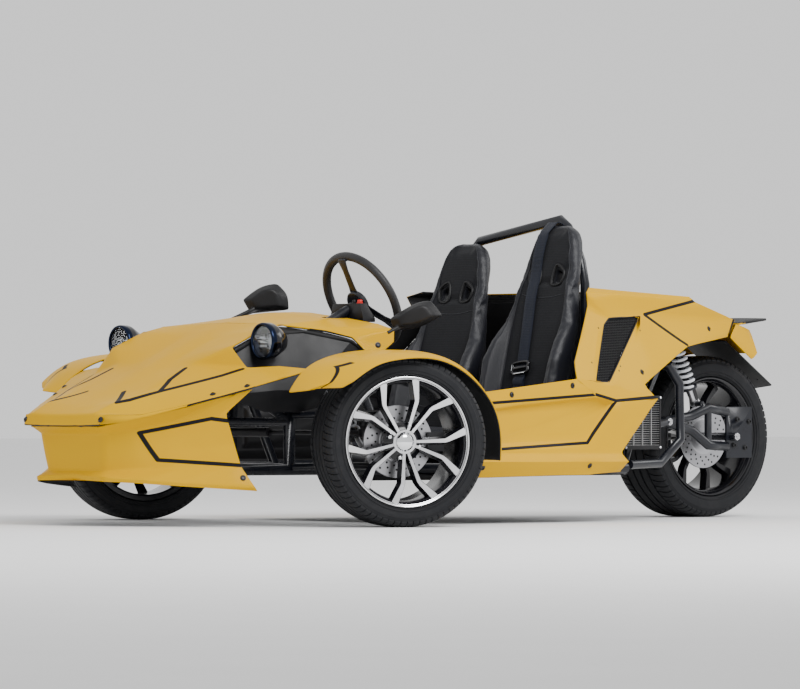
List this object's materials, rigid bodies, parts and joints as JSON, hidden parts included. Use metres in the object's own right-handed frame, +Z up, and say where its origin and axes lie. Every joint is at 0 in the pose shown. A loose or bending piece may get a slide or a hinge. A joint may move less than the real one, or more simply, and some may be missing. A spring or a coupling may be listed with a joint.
{
  "type": "three-wheeled two-seat roadster",
  "caption": "Open two-seat roadster with two steered front wheels, one rear wheel, faceted body, roll bar and bucket seats.",
  "frame": {"origin": "on the ground under the middle of the bounding box", "axes": "+X forward, +Y to the left, +Z up"},
  "size_m": [2.9987, 1.7501, 1.0243],
  "materials": {
    "yellow_body": "glossy moulded panels",
    "black_steel": "satin black powder coat",
    "black_sheet": "matt black sheet",
    "black_plastic": "grained black plastic",
    "lamp": "black housing with a clear lens",
    "seat_cover": "black synthetic leather with fabric middle",
    "grip": "wrapped rim",
    "shock_steel": "plated",
    "machined_alloy": "machined faces with black pockets",
    "black_alloy": "gloss black",
    "tyre": "moulded tread",
    "disc_steel": "turned",
    "engine_cast": "cast block",
    "radiator_core": "fins in a black frame"
  },
  "bodies": {
    "chassis": {"frame_front": "black_steel", "frame_floor": "black_steel", "frame_rear": "black_steel", "floor_pan": "black_sheet", "nose_bumper": "yellow_body", "hood": "yellow_body", "dash_cowl": "yellow_body", "inner_shells": "black_plastic", "headlights": "lamp", "front_fender_left": "yellow_body", "front_fender_right": "yellow_body", "side_panel_left": "yellow_body", "side_panel_right": "yellow_body", "rear_quarter_left": "yellow_body", "rear_quarter_right": "yellow_body", "vent_meshes": "black_plastic", "rear_deck": "yellow_body", "tail_fins": "yellow_body", "mudguard": "black_plastic", "seat_bulkhead": "black_sheet", "driver_seat": "seat_cover", "passenger_seat": "seat_cover", "roll_bar": "black_steel", "mirror_left": "black_plastic", "mirror_right": "black_plastic", "instrument_pod": "black_plastic", "steering_column": "black_steel", "wishbones": "black_steel", "front_shocks": "shock_steel", "engine": "engine_cast", "radiator": "radiator_core", "side_guards": "black_steel", "swing_arm": "black_steel", "rear_shock": "shock_steel"},
    "steering_wheel": {"steering_wheel": "grip"},
    "steering_rack": {"steering_rack": "shock_steel"},
    "knuckle_left": {"knuckle_left": "black_steel"},
    "knuckle_right": {"knuckle_right": "black_steel"},
    "front_wheel_left": {"front_rim_left": "machined_alloy", "front_tyre_left": "tyre", "brake_disc_left": "disc_steel"},
    "front_wheel_right": {"front_rim_right": "machined_alloy", "front_tyre_right": "tyre", "brake_disc_right": "disc_steel"},
    "rear_wheel": {"rear_rim": "black_alloy", "rear_tyre": "tyre", "rear_brake_disc": "disc_steel"}
  },
  "joints": [
    {"name": "steer_left", "type": "hinge", "parent": "chassis", "child": "knuckle_left", "pos_m": [0.68449, 0.66253, 0.2685], "axis": [0, 0, 1], "range_deg": [-9.5, 50.5]},
    {"name": "steer_right", "type": "hinge", "parent": "chassis", "child": "knuckle_right", "pos_m": [0.68449, -0.66253, 0.2685], "axis": [0, 0, 1], "range_deg": [-9.51, 50.51]},
    {"name": "steering_wheel_turn", "type": "hinge", "parent": "chassis", "child": "steering_wheel", "pos_m": [0.4775, 0.25, 0.722], "axis": [-0.891, 0, 0.454], "range_deg": [-48.5, 253.5]},
    {"name": "rack_slide", "type": "slide", "parent": "chassis", "child": "steering_rack", "axis": [0, 1, 0], "range_m": [-0.0166, 0.08608]},
    {"name": "front_wheel_left_spin", "type": "hinge", "parent": "knuckle_left", "child": "front_wheel_left", "pos_m": [0.6985, 0.7, 0.2685], "axis": [0.3502, 0.9367, 0], "continuous": true},
    {"name": "front_wheel_right_spin", "type": "hinge", "parent": "knuckle_right", "child": "front_wheel_right", "pos_m": [0.67048, -0.7, 0.2685], "axis": [0.3502, 0.9367, 0], "continuous": true},
    {"name": "rear_wheel_spin", "type": "hinge", "parent": "chassis", "child": "rear_wheel", "pos_m": [-1.2015, 0, 0.279], "axis": [0, 1, 0], "continuous": true}
  ],
  "couplings": [
    {"joint": "steer_right", "follows": "steer_left", "ratio": 1},
    {"joint": "rack_slide", "follows": "steer_left", "m_per_rad": 0.0971},
    {"joint": "steering_wheel_turn", "follows": "steer_left", "ratio": 5}
  ]
}
